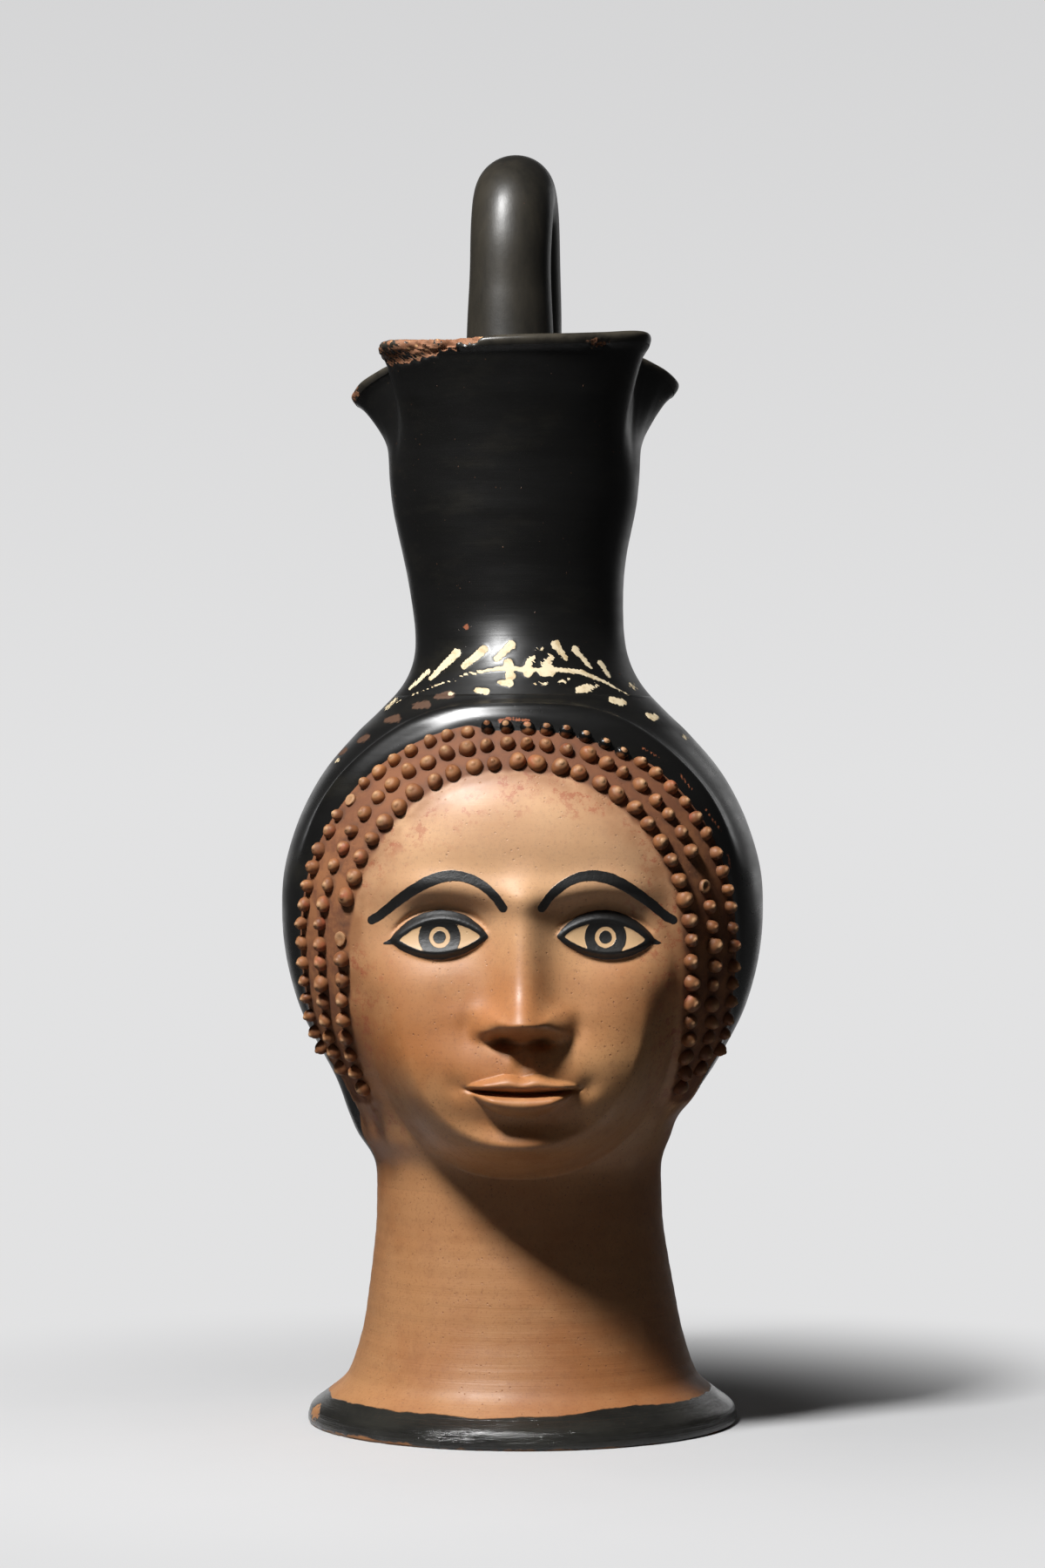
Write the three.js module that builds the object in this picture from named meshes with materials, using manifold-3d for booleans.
// A wine jug in the shape of a woman's head, of fired clay with black gloss.
// Millimetres, +Z up. The origin is the centre of the foot on the table, and the face looks towards -Y.
import * as THREE from "three";
import { mergeVertices } from "three/addons/utils/BufferGeometryUtils.js";
import Module from "manifold-3d";

const wasm = await Module();
wasm.setup();

// Heights of the jug
const standHeight = 44;
const headHeight = 90.2;
const mouthHeight = 64.8;
const handleTopHeight = 240;

// Stand: the figure's neck with its flared foot, hollow and open below
const footRadius = 39.8;
const footEdgeRound = 0.6;
const restingWidth = 6;
const waistRadius = 26.4;
const standWall = 5;
const ledgeWidth = 2.4;
const floorThickness = 4;

// Head, pressed in a front and a back mould
const headHalfWidth = 44.6;
const headFrontReach = 43.4;
const headBackReach = 44.8;
const headWall = 5.4;
const crownRadius = 24;
const crownWall = 5;
const napeBagRise = 5.5;
const napeBagWidth = 19;
const napeBagTall = 12;
const napeBagAside = 9;
const napeBagAbove = 17;
const seamCoilRadius = 3;
const seamCoilMargin = 9;

// Face, laid out from the chin up to the hairline
const chinRise = 5;
const faceHeight = 66;

// Curls: three rows of clay pellets, each on its strip of clay
const curlRadius = 1.35;
const curlRise = 1.7;
const stripWidth = 3.7;
const stripThickness = 0.9;
const hairAside = -1.2;
const hairSpringRise = 44;

// Thrown neck and three-lobed mouth
const neckRadius = 19.4;
const neckWall = 3.7;
const neckNarrowestRise = 13;
const neckFlare = 4.8;
const spigotDepth = 5;
const lobeReach = 31.5;
const foldRise = 38;
const lipFlare = 1.4;
const lipRound = 1.7;
const neckLean = 1.6;
const lipTilt = 0.035;

// Handle: a pulled rod that loops high behind the mouth
const handleRadius = 7.3;
const handleRootRadius = 9;
const handleBackReach = 52;

// Clearance that is left where curved faces of two pieces meet
const jointGap = 0.3;
const cutOverrun = 3;

// Fineness of the surfaces
const roundSides = 40;
const faceColumns = 38;
const faceRows = 48;
const backColumns = 20;
const backRows = 20;
const hollowSides = 28;
const hollowSteps = 12;
const coilSides = 6;
const coilSteps = 12;
const mouthSides = 44;
const handleSides = 12;
const handleSteps = 34;
const curlSides = 6;

// Heights and sizes that follow from those above
const headTop = standHeight + headHeight;
const chinHeight = standHeight + chinRise;
const napeBagHeight = standHeight + napeBagAbove;
const hairSpringHeight = standHeight + hairSpringRise;
const headNeckRadius = (waistRadius + crownRadius) / 2;
const spigotRadius = crownRadius - crownWall - jointGap;
const boreRadius = neckRadius - neckWall;

// Stand outline: share of the way out from waist to foot edge, share of the stand's height
const standOutsideShares = [
  [1, 0.035],
  [0.7, 0.105],
  [0.5, 0.177],
  [0.373, 0.252],
  [0.231, 0.4],
  [0.149, 0.545],
  [0.075, 0.693],
  [0.022, 0.841],
  [0, 1],
];

// Stand hollow, from the resting ring up: the same two shares, of the hollow's own width and height
const standInsideShares = [
  [1, 0],
  [0.62, 0.15],
  [0.36, 0.33],
  [0.2, 0.56],
  [0.07, 0.82],
  [0, 1],
];

// Head swell by height: share of the height, then shares of the swell to the side, front and back
const headSwellShares = [
  [0, 0, 0, 0],
  [0.022, 0.015, 0.015, 0.03],
  [0.045, 0.04, 0.04, 0.07],
  [0.0665, 0.075, 0.075, 0.115],
  [0.1, 0.145, 0.15, 0.19],
  [0.1375, 0.223, 0.25, 0.277],
  [0.2095, 0.412, 0.47, 0.464],
  [0.2816, 0.612, 0.665, 0.627],
  [0.3537, 0.791, 0.8, 0.768],
  [0.4257, 0.908, 0.885, 0.879],
  [0.4967, 0.979, 0.945, 0.959],
  [0.5687, 1.008, 0.987, 0.998],
  [0.6408, 0.997, 1.019, 1.017],
  [0.7129, 0.923, 1.017, 0.985],
  [0.7849, 0.798, 0.938, 0.892],
  [0.8559, 0.611, 0.75, 0.717],
  [0.9279, 0.331, 0.452, 0.43],
  [0.9645, 0.155, 0.226, 0.21],
  [1, 0, 0, 0],
];

// How far the face stands forward of the plain head, from under the chin up to the cheekbones:
// place above the chin and reach, both in shares of the face height
const faceForwardShares = [
  [-0.06, 0.15],
  [0, 0.195],
  [0.05, 0.205],
  [0.1, 0.192],
  [0.16, 0.165],
  [0.22, 0.14],
  [0.3, 0.1],
  [0.38, 0.058],
  [0.48, 0.016],
  [0.58, 0],
  [1.3, 0],
];

// The oval that the jaw draws: its middle above the chin, its height below that, its half width,
// how square it is, how wide its edge rolls over, and how far the face falls back to the sides
const jawShares = { middle: 0.47, tall: 0.49, half: 0.41, power: 2.3, roll: 0.1, edge: 0.06, sideFall: 0.9 };

// Soft forms of the face, in shares of its height: place aside, place above the chin,
// half width, half height and rise. A place aside stands for both sides.
const faceFormShares = {
  eyeSocket: [0.212, 0.655, 0.145, 0.088, -0.05],
  eyeball: [0.222, 0.632, 0.105, 0.047, 0.047],
  browRidge: [0.22, 0.758, 0.2, 0.042, 0.021],
  cheekbone: [0.3, 0.5, 0.13, 0.12, 0.026],
  cheek: [0.25, 0.3, 0.15, 0.14, 0.014],
  mouthMound: [0, 0.25, 0.2, 0.125, 0.03],
  upperLip: [0.045, 0.25, 0.078, 0.023, 0.025],
  lowerLip: [0, 0.188, 0.098, 0.03, 0.036],
  mouthSlit: [0, 0.221, 0.15, 0.0155, -0.022],
  mouthCorner: [0.168, 0.222, 0.034, 0.034, -0.014],
  philtrum: [0, 0.305, 0.02, 0.034, -0.009],
  underLipHollow: [0, 0.135, 0.12, 0.03, -0.028],
  chin: [0, 0.055, 0.12, 0.066, 0.034],
  nostrilWing: [0.09, 0.388, 0.04, 0.042, 0.058],
  noseTip: [0, 0.42, 0.07, 0.05, 0.018],
};

// The forms fade out towards the hair: place aside and above the chin, and width of the fade
const faceEdgeShares = { aside: 0.455, asideFade: 0.07, above: 0.98, aboveFade: 0.14 };

// Bridge of the nose, in shares of the face height: root, tip and base above the chin,
// rise at root and tip, half width at root and tip, and the fade into the brow
const noseShares = {
  root: 0.76,
  tip: 0.405,
  base: 0.352,
  rootRise: 0.028,
  tipRise: 0.118,
  rootHalf: 0.05,
  tipHalf: 0.073,
  brow: 0.86,
  browFade: 0.16,
};

// Mouth seen from above, by share of the half turn from front to back: reach and lip height
const mouthPlanShares = [
  [0, 0.873, 1],
  [0.11, 0.885, 1],
  [0.2, 0.935, 1],
  [0.27, 0.985, 0.998],
  [0.32, 0.93, 0.985],
  [0.36, 0.8, 0.96],
  [0.4, 0.72, 0.93],
  [0.44, 0.77, 0.905],
  [0.5, 0.9, 0.88],
  [0.56, 0.985, 0.87],
  [0.63, 0.985, 0.872],
  [0.72, 0.91, 0.89],
  [0.84, 0.81, 0.925],
  [1, 0.755, 0.955],
];
const mouthOutsideShares = [0, 0.03, 0.07, 0.12, 0.2, 0.31, 0.43, 0.55, 0.66, 0.76, 0.85, 0.93];
const mouthInsideShares = [0.1, 0.3, 0.5, 0.66, 0.8, 0.92];

// Handle centre line, from the rim over the loop to the back of the head:
// share of the reach behind the foot's centre, share of the handle's top height
const handleLineShares = [
  [0.36, 0.79],
  [0.465, 0.82],
  [0.51, 0.86],
  [0.52, 0.91],
  [0.53, 0.955],
  [0.6, 0.988],
  [0.765, 1],
  [0.925, 0.988],
  [0.985, 0.95],
  [1, 0.9],
  [1, 0.78],
  [0.99, 0.66],
  [0.95, 0.57],
  [0.85, 0.5],
  [0.66, 0.46],
];
const handleFrontAside = -2;
const handleRearAside = 0.3;

// Curl rows: count, half width of the arch, how far its top lies under the crown, how far its ends
// lie above the stand, and the share of the head's half width that the row keeps to at the jaw
const curlRows = {
  curl_row_outer: { count: 48, halfWidth: 39, underCrown: 6.6, aboveStand: 25, jawShare: 0.95 },
  curl_row_middle: { count: 46, halfWidth: 35, underCrown: 9.4, aboveStand: 21.5, jawShare: 0.905 },
  curl_row_inner: { count: 43, halfWidth: 31, underCrown: 12.7, aboveStand: 18, jawShare: 0.845 },
};

// A pellet's foot and shoulder: width and height shares
const curlLevelShares = [
  [1, 0],
  [0.8, 0.6],
];
const stripTopShare = 0.86;

const clay = new THREE.MeshStandardMaterial({ color: 0xb8703a, roughness: 0.62, metalness: 0 });
const hairClay = new THREE.MeshStandardMaterial({ color: 0x8a4b2c, roughness: 0.7, metalness: 0 });
const blackGloss = new THREE.MeshStandardMaterial({ color: 0x14130f, roughness: 0.28, metalness: 0 });

const clamp = THREE.MathUtils.clamp;
const lerp = THREE.MathUtils.lerp;
const smooth = (share) => THREE.MathUtils.smoothstep(share, 0, 1);
const bell = (distance, reach) => Math.exp(-((distance / reach) ** 2));

// One column of a table read between its rows, on a smooth curve through them
function along(table, column, place) {
  const last = table.length - 1;
  let i = 0;
  while (i < last - 1 && place > table[i + 1][0]) i++;
  const slope = (k) => {
    const before = table[Math.max(k - 1, 0)];
    const after = table[Math.min(k + 1, last)];
    return (after[column] - before[column]) / (after[0] - before[0]);
  };
  const step = table[i + 1][0] - table[i][0];
  const t = clamp((place - table[i][0]) / step, 0, 1);
  const rising = t * t * (3 - 2 * t);
  const ends = table[i][column] * (1 - rising) + table[i + 1][column] * rising;
  const bend = slope(i) * t * (1 - t) ** 2 - slope(i + 1) * t * t * (1 - t);
  return ends + step * bend;
}

// Places from 0 to 1, closer together where the weight is high
function spread(count, weight) {
  const samples = 400;
  const sums = [0];
  for (let i = 0; i < samples; i++) sums.push(sums[i] + weight((i + 0.5) / samples));
  const places = [];
  for (let i = 0, k = 0; i <= count; i++) {
    const wanted = (sums[samples] * i) / count;
    while (k < samples - 1 && sums[k + 1] < wanted) k++;
    places.push((k + (wanted - sums[k]) / (sums[k + 1] - sums[k])) / samples);
  }
  return places;
}

// A closed surface through rings of equal count: capped at both ends, or joined end to end.
// Each four-sided patch is split along its shorter diagonal, so that fine relief stays clean.
function loft(rings, joined = false) {
  const across = rings[0].length;
  const points = rings.flat();
  const index = [];
  const spans = joined ? rings.length : rings.length - 1;
  for (let i = 0; i < spans; i++) {
    const here = i * across;
    const next = ((i + 1) % rings.length) * across;
    for (let j = 0; j < across; j++) {
      const k = (j + 1) % across;
      const [a, b, c, d] = [here + j, here + k, next + k, next + j];
      const rising = points[a].distanceTo(points[c]) <= points[b].distanceTo(points[d]);
      index.push(...(rising ? [a, b, c, a, c, d] : [a, b, d, b, c, d]));
    }
  }
  if (!joined) {
    for (const [ring, underside] of [[0, true], [rings.length - 1, false]]) {
      const centre = new THREE.Vector3();
      rings[ring].forEach((p) => centre.addScaledVector(p, 1 / across));
      points.push(centre);
      for (let j = 0; j < across; j++) {
        const a = ring * across + j;
        const b = ring * across + ((j + 1) % across);
        index.push(points.length - 1, underside ? b : a, underside ? a : b);
      }
    }
  }
  return new THREE.BufferGeometry().setFromPoints(points).setIndex(index);
}

function toSolid(geometry) {
  const bare = geometry.clone();
  bare.deleteAttribute("normal");
  bare.deleteAttribute("uv");
  const merged = mergeVertices(bare, jointGap / 1000);
  const vertProperties = new Float32Array(merged.attributes.position.array);
  const triVerts = new Uint32Array(merged.index.array);
  return new wasm.Manifold(new wasm.Mesh({ numProp: 3, vertProperties, triVerts }));
}

function toGeometry(solid) {
  const made = solid.getMesh();
  const geometry = new THREE.BufferGeometry();
  geometry.setAttribute("position", new THREE.BufferAttribute(new Float32Array(made.vertProperties), 3));
  geometry.setIndex(new THREE.BufferAttribute(new Uint32Array(made.triVerts), 1));
  geometry.computeVertexNormals();
  return geometry;
}

// Stand outline from the resting ring up, on a curve through the shares
function standCurve(shares, fromRadius, toRadius, height) {
  return shares.map(([out, up]) => new THREE.Vector2(lerp(toRadius, fromRadius, out), up * height));
}

// A profile turned about the upright axis
function turned(profile) {
  return new THREE.LatheGeometry(profile, roundSides).rotateX(Math.PI / 2);
}

function neckStand() {
  const ledgeHeight = standHeight - floorThickness;
  const seatRadius = waistRadius - standWall;
  const outside = new THREE.SplineCurve(standCurve(standOutsideShares, footRadius, waistRadius, standHeight));
  const ringRadius = footRadius - restingWidth;
  const hollow = standCurve(standInsideShares, ringRadius, seatRadius - ledgeWidth, ledgeHeight);
  const profile = [
    ...new THREE.SplineCurve(hollow).getPoints(hollow.length),
    new THREE.Vector2(seatRadius, ledgeHeight),
    new THREE.Vector2(seatRadius, standHeight),
    ...outside.getPoints(standOutsideShares.length + 1).reverse(),
    new THREE.Vector2(footRadius, footEdgeRound),
    new THREE.Vector2(footRadius - footEdgeRound, 0),
    new THREE.Vector2(ringRadius, 0),
  ];
  return turned(profile.reverse());
}

function floorDisc() {
  const radius = waistRadius - standWall - jointGap;
  const profile = [
    new THREE.Vector2(0, standHeight - floorThickness),
    new THREE.Vector2(radius, standHeight - floorThickness),
    new THREE.Vector2(radius, standHeight),
    new THREE.Vector2(0, standHeight),
  ];
  return turned(profile);
}

// Half width and front or back depth of the head at a height, drawn in by a wall where asked
function headSection(height, wall = 0) {
  const share = clamp((height - standHeight) / headHeight, 0, 1);
  const base = lerp(waistRadius, crownRadius, share);
  const swell = (column, reach) =>
    base + along(headSwellShares, column, share) * (reach - headNeckRadius) - wall;
  return { side: swell(1, headHalfWidth), front: swell(2, headFrontReach), back: swell(3, headBackReach) };
}

// The head's cross-section is a circle at both ends and squarer over the cheeks
function sectionPower(height) {
  const share = clamp((height - standHeight) / headHeight, 0, 1);
  return 2 + 0.4 * Math.sin(Math.PI * share);
}

function soften(form, x, up) {
  const [aside, above, halfWidth, halfHeight, rise] = form;
  return rise * bell(Math.abs(x) - aside, halfWidth) * bell(up - above, halfHeight);
}

// The ridge of the nose rises from its root to the tip and turns in sharply below it
function noseRise(x, up) {
  const { root, tip, base, rootRise, tipRise, rootHalf, tipHalf, brow, browFade } = noseShares;
  const down = clamp((root - up) / (root - tip), 0, 1);
  const ridge = Math.exp(-(Math.abs(x / lerp(rootHalf, tipHalf, down)) ** 2.4));
  const under = smooth((up - base) / (tip - base));
  return lerp(rootRise, tipRise, down ** 1.15) * ridge * under * smooth((brow - up) / browFade);
}

// 1 on the face, falling to 0 along the oval of the jaw
function jawMask(x, up) {
  const { middle, tall, half, power, roll, edge } = jawShares;
  const below = Math.max((middle - up) / tall, 0);
  const reach = ((Math.abs(x) / half) ** power + below ** power) ** (1 / power);
  return Math.sqrt(smooth(((1 - reach) * half) / roll + edge));
}

// How far the face stands out beyond the plain head at a place on its front
function faceRelief(x, height) {
  const side = x / faceHeight;
  const up = (height - chinHeight) / faceHeight;
  const mask = jawMask(side, up);
  const { aside, asideFade, above, aboveFade } = faceEdgeShares;
  const keep = smooth((aside - Math.abs(side)) / asideFade) * smooth((above - up) / aboveFade);
  const softForms = Object.values(faceFormShares).map((form) => soften(form, side, up));
  const forms = softForms.reduce((sum, rise) => sum + rise, noseRise(side, up));
  const forward = along(faceForwardShares, 1, up) * (1 - jawShares.sideFall * side ** 2);
  return faceHeight * (forward * mask + forms * keep * (up < jawShares.middle ? mask : 1));
}

// The bag of the head cloth hangs a little to one side of the nape
function napeBag(x, height) {
  return napeBagRise * bell(x + napeBagAside, napeBagWidth) * bell(height - napeBagHeight, napeBagTall);
}

function frontPoint(turn, height, clearance = 0) {
  const { side, front } = headSection(height, -clearance);
  const power = 2 / sectionPower(height);
  const x = side * Math.sign(turn) * Math.abs(Math.sin((turn * Math.PI) / 2)) ** power;
  const depth = front * Math.max(Math.cos((turn * Math.PI) / 2), 0) ** power;
  return new THREE.Vector3(x, -depth - faceRelief(x, height) * smooth((4 * depth) / front), height);
}

function backPoint(turn, height, clearance = 0) {
  const { side, back } = headSection(height, -clearance);
  const power = 2 / sectionPower(height);
  const x = -side * Math.sign(turn) * Math.abs(Math.sin((turn * Math.PI) / 2)) ** power;
  const cosine = Math.max(Math.cos((turn * Math.PI) / 2), 0) ** power;
  return new THREE.Vector3(x, (back + napeBag(x, height)) * cosine, height);
}

// Rows of the face crowd at the chin, lips, nose and eyes, and columns towards its middle
function faceRowWeight(share) {
  const up = (standHeight + share * headHeight - chinHeight) / faceHeight;
  const atLips = 4.4 * bell(up - 0.22, 0.06);
  const atNose = 3 * bell(up - 0.375, 0.05);
  return 1 + 2 * bell(up, 0.06) + atLips + atNose + bell(up - 0.64, 0.12);
}

function faceColumnWeight(share) {
  const turn = 2 * share - 1;
  return 1 + 1.6 * bell(turn, 0.14) + 0.5 * bell(turn, 0.45);
}

function headHalf(pointAt, columns, rows) {
  const rings = rows.map((row) => {
    const height = standHeight + row * headHeight;
    return columns.map((column) => pointAt(2 * column - 1, height));
  });
  return toSolid(loft(rings));
}

// The hollow of the head, run out past both ends
function headHollow() {
  const rings = [];
  for (let i = 0; i <= hollowSteps; i++) {
    const height = standHeight + (headHeight * i) / hollowSteps;
    const { side, front, back } = headSection(height, i === hollowSteps ? crownWall : headWall);
    const ring = [];
    for (let j = 0; j < hollowSides; j++) {
      const angle = (2 * Math.PI * j) / hollowSides;
      const depth = Math.sin(angle) < 0 ? front : back;
      ring.push(new THREE.Vector3(side * Math.cos(angle), depth * Math.sin(angle), height));
    }
    rings.push(ring);
  }
  const shifted = (ring, rise) => ring.map((p) => p.clone().add(new THREE.Vector3(0, 0, rise)));
  return toSolid(loft([shifted(rings[0], -cutOverrun), ...rings, shifted(rings[hollowSteps], cutOverrun)]));
}

const hollow = headHollow();

function faceFront() {
  const columns = spread(faceColumns, faceColumnWeight);
  const rows = spread(faceRows, faceRowWeight);
  return toGeometry(headHalf(frontPoint, columns, rows).subtract(hollow));
}

function headBack() {
  const columns = spread(backColumns, () => 1);
  const rows = spread(backRows, () => 1);
  return toGeometry(headHalf(backPoint, columns, rows).subtract(hollow));
}

// A half-round coil of clay pressed along the inside of the mould seam, on one side
function seamCoil(sign) {
  const rings = [];
  for (let i = 0; i <= coilSteps; i++) {
    const height = lerp(standHeight + seamCoilMargin, headTop - 2 * seamCoilMargin, i / coilSteps);
    const { side } = headSection(height, headWall + 2 * jointGap);
    const ring = [];
    for (let j = 0; j <= coilSides; j++) {
      const angle = Math.PI * (j / coilSides - 0.5);
      const reach = seamCoilRadius * Math.cos(angle);
      const along = seamCoilRadius * Math.sin(angle);
      const fall = side * (1 - Math.sqrt(1 - (along / side) ** 2));
      ring.push(new THREE.Vector3(sign * (side - fall - reach), sign * -along, height));
    }
    rings.push(ring);
  }
  return loft(rings);
}

// The point of the bare head under a place in the front view, moved out by a height above it
function surfacePoint(x, height, above) {
  const at = (px, pz) => {
    const { side, front } = headSection(pz);
    const power = sectionPower(pz);
    const share = clamp(Math.abs(px) / side, 0, 1);
    const depth = front * (1 - share ** power) ** (1 / power);
    return new THREE.Vector3(px, -depth - faceRelief(px, pz) * smooth((4 * depth) / front), pz);
  };
  const nudge = curlRadius / 8;
  const here = at(x, height);
  const across = at(x + nudge, height).sub(at(x - nudge, height));
  const upward = at(x, height + nudge).sub(at(x, height - nudge));
  const normal = across.cross(upward).normalize();
  return { point: here.addScaledVector(normal, above), normal };
}

// The line of one row in the front view: an arch over the brow, then down to the jaw
function curlLine({ halfWidth, underCrown, aboveStand, jawShare }) {
  const rise = headTop - underCrown - hairSpringHeight;
  const fall = hairSpringHeight - standHeight - aboveStand;
  const places = [];
  const steps = 160;
  for (let i = -steps; i <= steps; i++) {
    const share = Math.abs(i) / steps;
    const arch = Math.min(share / 0.68, 1) * (Math.PI / 2);
    const drop = Math.max(share - 0.68, 0) / (1 - 0.68);
    const height = hairSpringHeight + rise * Math.cos(arch) - drop * fall;
    const jaw = jawShare * headSection(height).side;
    const aside = Math.sign(i) * halfWidth * Math.sin(arch) ** 0.94 + hairAside;
    places.push(new THREE.Vector2(aside / (1 + Math.abs(aside / jaw) ** 14) ** (1 / 14), height));
  }
  return places;
}

// Even places along a row, measured over the curved head: one for each pellet and one between each two
function curlPlaces(row) {
  const line = curlLine(row);
  const path = new THREE.CatmullRomCurve3(line.map((p) => surfacePoint(p.x, p.y, 0).point));
  path.arcLengthDivisions = line.length;
  return path.getSpacedPoints(2 * row.count).map((p) => new THREE.Vector2(p.x, p.z));
}

// Rings of the strip's four corners, square to its run and seated on the head
function stripRings(places) {
  return places.map((here, i) => {
    const before = places[Math.max(i - 1, 0)];
    const after = places[Math.min(i + 1, places.length - 1)];
    const base = surfacePoint(here.x, here.y, jointGap);
    const run = surfacePoint(after.x, after.y, 0).point.sub(surfacePoint(before.x, before.y, 0).point);
    const across = base.normal.clone().cross(run).setLength(stripWidth / 2);
    const corner = (side, above) =>
      base.point.clone().addScaledVector(across, side).addScaledVector(base.normal, above);
    const top = [corner(stripTopShare, stripThickness), corner(-stripTopShare, stripThickness)];
    return [corner(-1, 0), corner(1, 0), ...top];
  });
}

// One pellet that grows out of the strip's face between two rings: the face round its foot,
// then a low cone with a rounded shoulder, square to the head
function pelletFaces(place, face) {
  const { point, normal } = surfacePoint(place.x, place.y, jointGap + stripThickness);
  const side = new THREE.Vector3(0, 0, 1).cross(normal).normalize();
  const up = normal.clone().cross(side);
  const rings = curlLevelShares.map(([wide, high]) => {
    const ring = [];
    for (let j = 0; j < curlSides; j++) {
      const angle = (2 * Math.PI * j) / curlSides;
      const spot = point.clone().addScaledVector(normal, high * curlRise);
      spot.addScaledVector(side, wide * curlRadius * Math.cos(angle));
      ring.push(spot.addScaledVector(up, wide * curlRadius * Math.sin(angle)));
    }
    return ring;
  });
  const flat = (p) => new THREE.Vector2(p.clone().sub(point).dot(side), p.clone().sub(point).dot(up));
  const foot = [...rings[0]].reverse();
  const around = [...face, ...foot];
  const triangles = THREE.ShapeUtils.triangulateShape(face.map(flat), [foot.map(flat)]);
  const points = triangles.flat().map((i) => around[i]);
  const tip = point.clone().addScaledVector(normal, curlRise);
  for (let j = 0; j < curlSides; j++) {
    const k = (j + 1) % curlSides;
    const [low, high] = rings;
    points.push(low[j], low[k], high[k], low[j], high[k], high[j], high[j], high[k], tip);
  }
  return points;
}

function curlRow(row) {
  const places = curlPlaces(row);
  const rings = stripRings(places.filter((_, i) => i % 2 === 0));
  const pellets = places.filter((_, i) => i % 2 === 1);
  const [first, last] = [rings[0], rings[rings.length - 1]];
  const points = [first[0], first[3], first[2], first[0], first[2], first[1]];
  points.push(last[0], last[1], last[2], last[0], last[2], last[3]);
  pellets.forEach((place, i) => {
    const [here, next] = [rings[i], rings[i + 1]];
    for (const [j, k] of [[0, 1], [1, 2], [3, 0]]) {
      points.push(here[j], here[k], next[k], here[j], next[k], next[j]);
    }
    points.push(...pelletFaces(place, [here[2], here[3], next[3], next[2]]));
  });
  return new THREE.BufferGeometry().setFromPoints(points);
}

// Radius of the round neck at a height: wide at the crown, narrowest a little above, then opening
function neckOutside(height) {
  const rise = height - headTop;
  const below = clamp(1 - rise / neckNarrowestRise, 0, 1);
  const above = clamp((rise - neckNarrowestRise) / (mouthHeight - neckNarrowestRise), 0, 1.2);
  return neckRadius + (crownRadius - neckRadius) * below ** 2.2 + neckFlare * above ** 1.35;
}

// Outside of the mouth by turn from the front and by share of the height to its lip
function mouthPoint(turn, share, drawnIn, sink = 0) {
  const half = Math.abs(turn);
  const lip = headTop + mouthHeight * along(mouthPlanShares, 2, half);
  const height = lerp(headTop, lip, share) - sink;
  const fold = clamp((height - headTop - foldRise) / (lip - headTop - foldRise), 0, 1) ** 1.9;
  const reach = lobeReach * along(mouthPlanShares, 1, half);
  const radius = lerp(neckOutside(height), reach - lipFlare, fold) + lipFlare * fold ** 4 - drawnIn;
  const angle = turn * Math.PI;
  const x = radius * Math.sin(angle) - neckLean * share * share;
  return new THREE.Vector3(x, -radius * Math.cos(angle), height + lipTilt * x * fold);
}

function mouthNeck() {
  const rings = [];
  const bottom = headTop - spigotDepth;
  for (let i = 0; i < mouthSides; i++) {
    const turn = (2 * i) / mouthSides - 1;
    const straight = (radius, height) =>
      new THREE.Vector3(radius * Math.sin(turn * Math.PI), -radius * Math.cos(turn * Math.PI), height);
    rings.push([
      straight(boreRadius, bottom),
      ...mouthInsideShares.map((share) => mouthPoint(turn, share, neckWall)),
      mouthPoint(turn, 1, neckWall - lipRound / 4, lipRound),
      mouthPoint(turn, 1, neckWall - lipRound, 0),
      mouthPoint(turn, 1, lipRound / 2, 0),
      mouthPoint(turn, 1, 0, lipRound / 2),
      ...mouthOutsideShares.map((share) => mouthPoint(turn, share, 0)).reverse(),
      straight(spigotRadius, headTop),
      straight(spigotRadius, bottom),
    ]);
  }
  return loft(rings, true);
}

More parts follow.
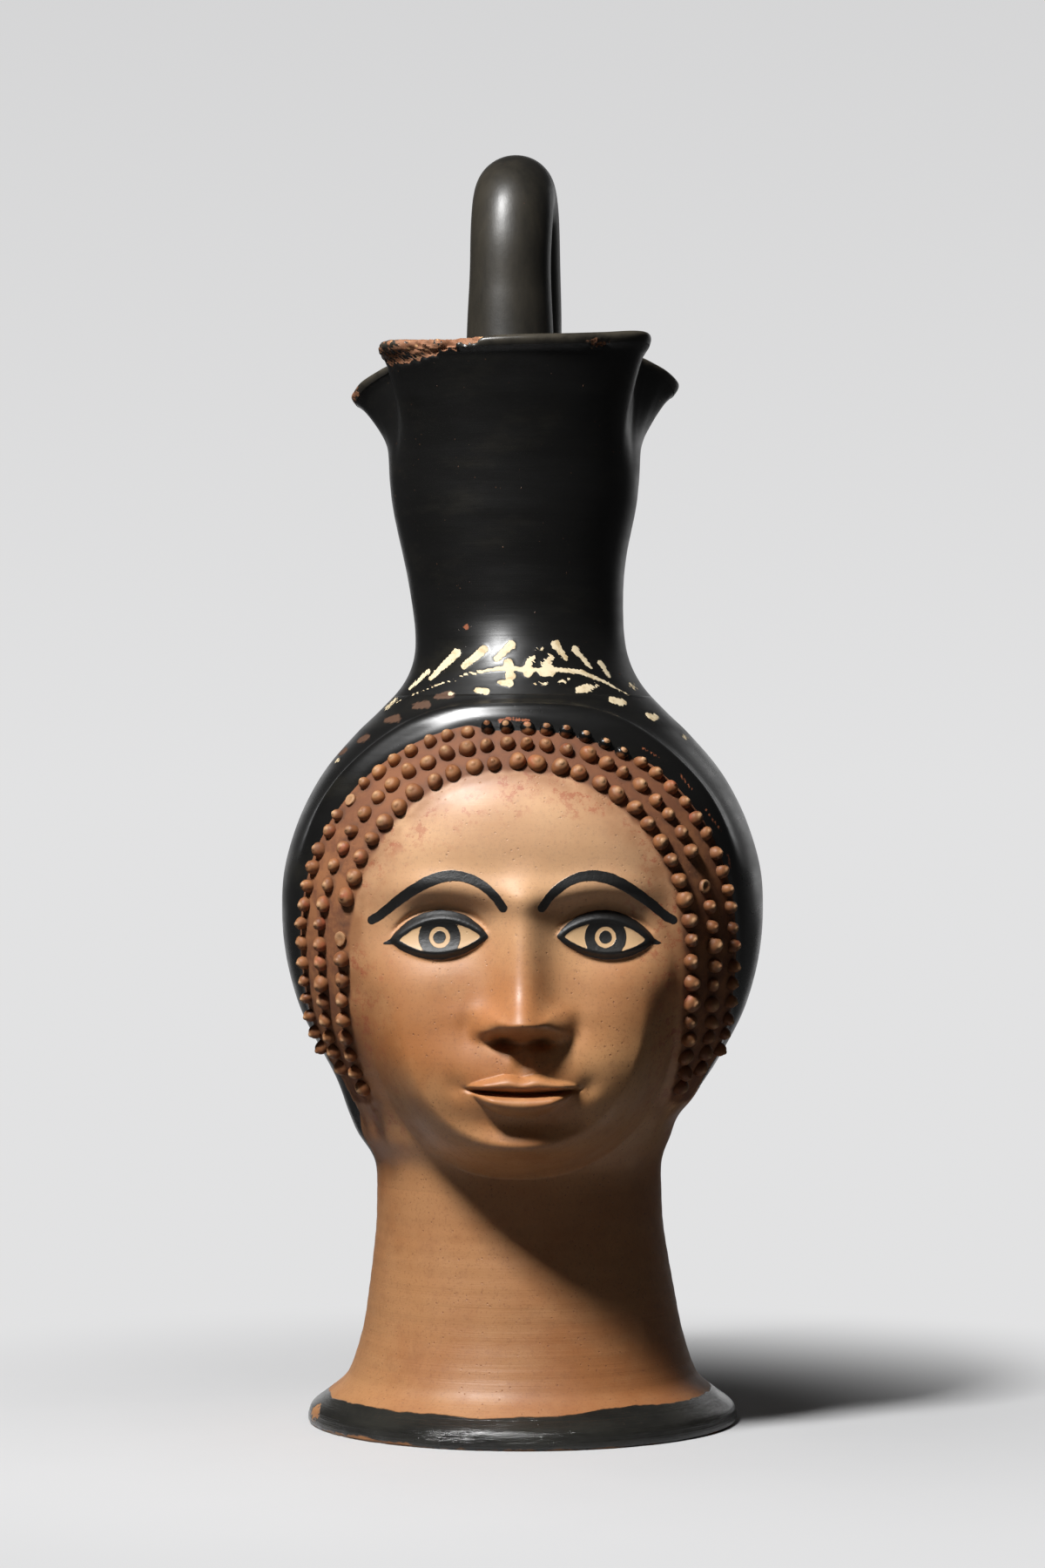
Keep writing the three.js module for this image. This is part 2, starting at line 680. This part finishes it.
// The mouth and the head as filled forms, a joint gap larger, that the handle is cut to
function mouthFilled() {
  const rings = [...mouthOutsideShares, 1].map((share) => {
    const ring = [];
    for (let i = 0; i < mouthSides; i++) ring.push(mouthPoint((2 * i) / mouthSides - 1, share, -jointGap));
    return ring;
  });
  const lifted = rings[rings.length - 1].map((p) => p.clone().add(new THREE.Vector3(0, 0, jointGap)));
  return toSolid(loft([...rings, lifted]));
}

function headFilled() {
  const rows = spread(backRows, () => 1);
  const rings = rows.map((row) => {
    const height = standHeight + row * headHeight;
    const back = spread(backColumns, () => 1).map((column) => backPoint(2 * column - 1, height, jointGap));
    return back;
  });
  return toSolid(loft(rings));
}

function handle() {
  const reach = handleBackReach - handleRadius;
  const top = handleTopHeight - handleRadius;
  const line = handleLineShares.map(([out, up], i) => {
    const aside = lerp(handleFrontAside, handleRearAside, smooth((i - 3) / 6));
    return new THREE.Vector3(aside, out * reach, up * top);
  });
  const path = new THREE.CatmullRomCurve3(line, false, "centripetal");
  const frames = path.computeFrenetFrames(handleSteps);
  const rings = [];
  for (let i = 0; i <= handleSteps; i++) {
    const share = i / handleSteps;
    const root = 1 - Math.min(smooth(share / 0.16), smooth((1 - share) / 0.2));
    const radius = lerp(handleRadius, handleRootRadius, root);
    const centre = path.getPointAt(share);
    const ring = [];
    for (let j = 0; j < handleSides; j++) {
      const angle = (2 * Math.PI * j) / handleSides;
      const spot = centre.clone().addScaledVector(frames.normals[i], radius * Math.cos(angle));
      ring.push(spot.addScaledVector(frames.binormals[i], radius * Math.sin(angle)));
    }
    rings.push(ring);
  }
  return toGeometry(toSolid(loft(rings)).subtract(mouthFilled()).subtract(headFilled()));
}

const jug = new THREE.Group();

function place(name, geometry, material) {
  const mesh = new THREE.Mesh(geometry, material);
  mesh.name = name;
  jug.add(mesh);
}

place("neck_stand", neckStand(), clay);
place("floor_disc", floorDisc(), clay);
place("face_front", faceFront(), clay);
place("head_back", headBack(), blackGloss);
place("seam_coil_left", seamCoil(-1), clay);
place("seam_coil_right", seamCoil(1), clay);
for (const [name, row] of Object.entries(curlRows)) place(name, curlRow(row), hairClay);
place("mouth_neck", mouthNeck(), blackGloss);
place("handle", handle(), blackGloss);

export default jug;
